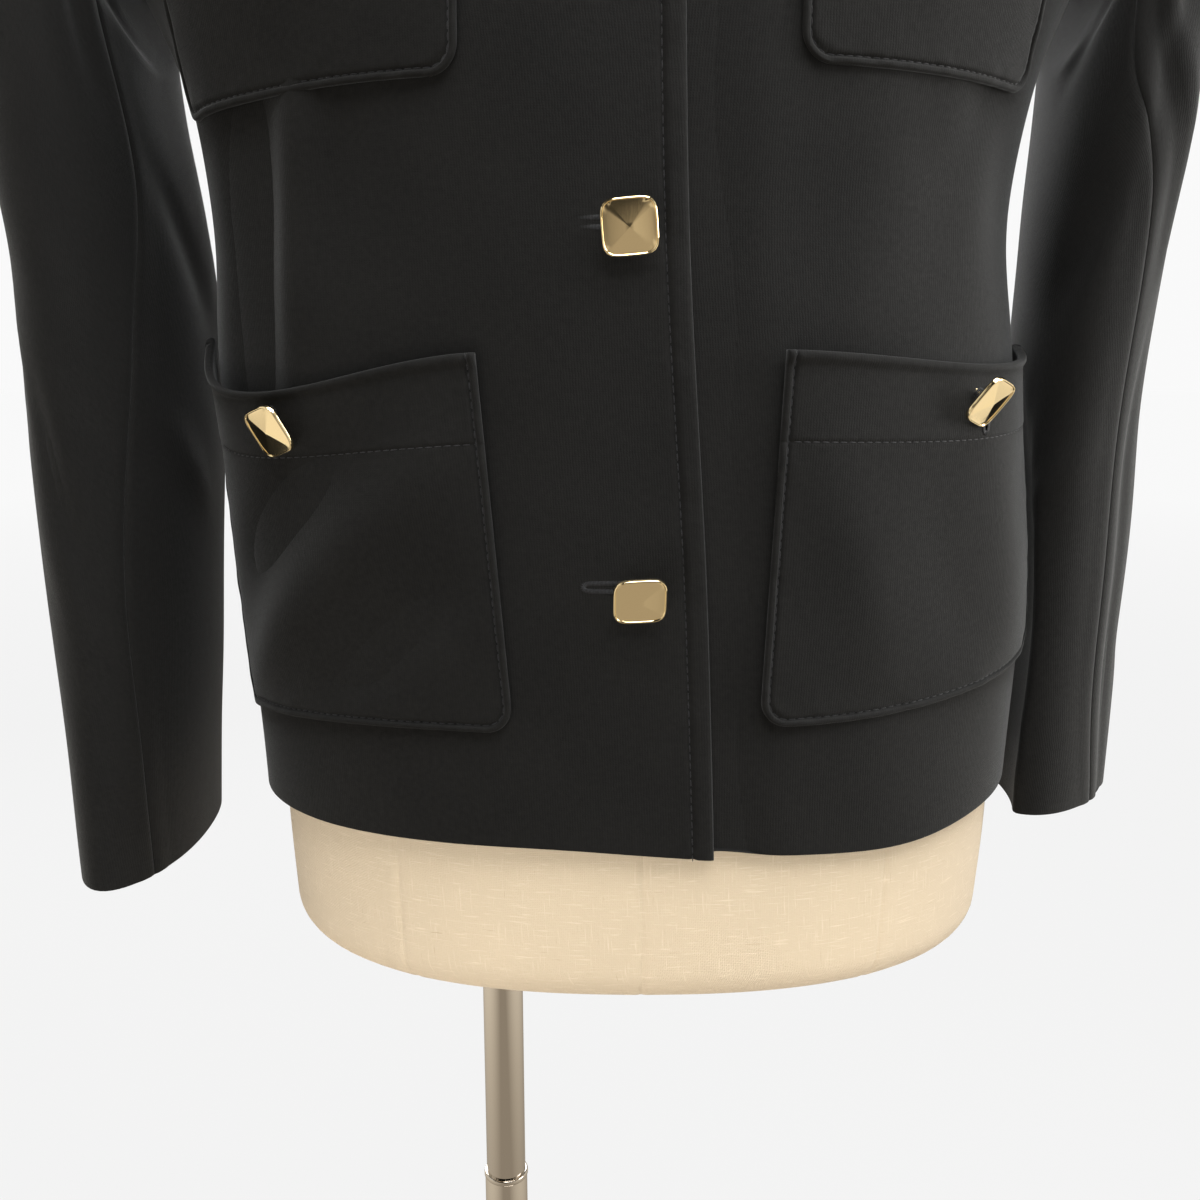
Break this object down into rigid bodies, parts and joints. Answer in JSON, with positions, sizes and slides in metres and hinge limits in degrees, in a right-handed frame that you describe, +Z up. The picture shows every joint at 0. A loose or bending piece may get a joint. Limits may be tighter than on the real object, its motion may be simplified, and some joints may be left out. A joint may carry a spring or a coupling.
{
  "type": "jersey jacket on a limbless dress form",
  "caption": "Black hip-length jersey jacket with patch pockets and gold shank buttons, worn by a limbless linen dress form on a chrome pole with a round base.",
  "frame": {"origin": "middle of the underside of the stand's round base, on the floor", "axes": "+Z up along the pole, -Y out of the jacket's front, -X towards the wearer's right"},
  "size_m": [0.5155, 0.36, 1.495],
  "materials": {
    "jersey": "matt fuzzy double-knit jersey, black",
    "linen": "plain-woven natural linen",
    "gold": "polished pale gold plate",
    "chrome": "polished"
  },
  "bodies": {
    "root": {"front_right": "jersey", "front_left": "jersey", "back": "jersey", "sleeve_right_upper": "jersey", "sleeve_right_under": "jersey", "sleeve_left_upper": "jersey", "sleeve_left_under": "jersey", "pocket_lower_right": "jersey", "pocket_lower_left": "jersey", "pocket_chest_right": "jersey", "pocket_chest_left": "jersey", "button_front_1": "gold", "button_front_2": "gold", "button_front_3": "gold", "button_front_4": "gold", "button_pocket_right": "gold", "button_pocket_left": "gold", "form_torso": "linen", "pole_upper": "chrome", "pole_collar": "chrome", "pole_lower": "chrome", "base": "chrome"}
  },
  "joints": []
}
